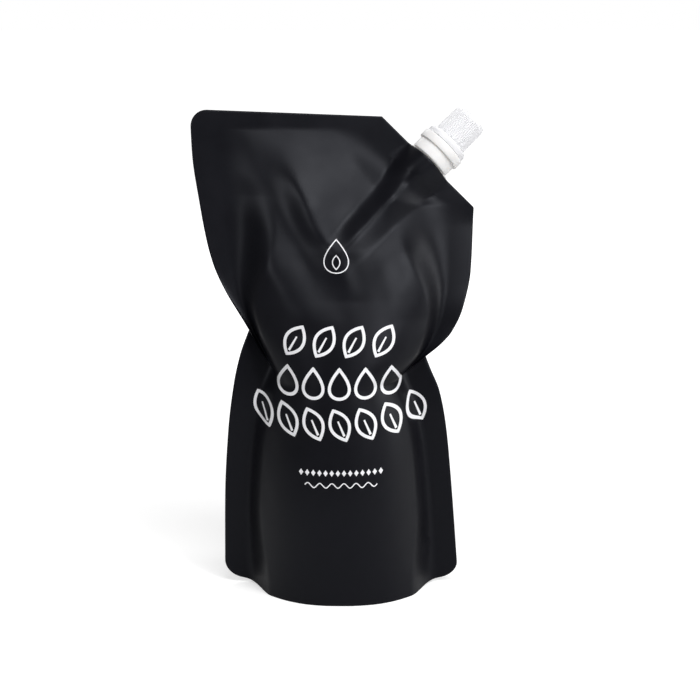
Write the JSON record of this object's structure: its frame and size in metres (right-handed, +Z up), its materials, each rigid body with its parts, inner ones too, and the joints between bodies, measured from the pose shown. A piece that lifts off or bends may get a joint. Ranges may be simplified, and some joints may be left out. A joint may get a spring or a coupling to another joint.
{
  "type": "hand soap refill pack",
  "caption": "Stand-up refill pouch of matt black film with a gusseted base, a creased waist and a screw-capped corner spout.",
  "frame": {"origin": "middle of the base, where the pack rests on a surface", "axes": "+Z up; the front, with the print, faces -Y; the spout leaves the top corner towards +X and +Z"},
  "size_m": [0.1483, 0.0792, 0.242],
  "materials": {
    "film": "matt black laminated film with plain white print",
    "spout": "natural, slightly translucent moulded polyethylene",
    "cap": "white moulded polyethylene, satin",
    "liner": "white expanded foam"
  },
  "bodies": {
    "pack": {"pouch": "film", "spout": "spout", "tamper_ring": "cap"},
    "liner_carrier": {"seal_liner": "liner"},
    "screw_cap": {"cap": "cap"}
  },
  "joints": [
    {"name": "cap_lift", "type": "slide", "parent": "pack", "child": "liner_carrier", "axis": [0.7071, 0.183, 0.683], "range_m": [0, 0.0128]},
    {"name": "cap_turn", "type": "hinge", "parent": "liner_carrier", "child": "screw_cap", "pos_m": [0.04385, 0.02533, 0.21454], "axis": [0.7071, 0.183, 0.683], "range_deg": [0, 1441]}
  ],
  "couplings": [
    {"joint": "cap_turn", "follows": "cap_lift", "rad_per_m": 1963.5}
  ]
}
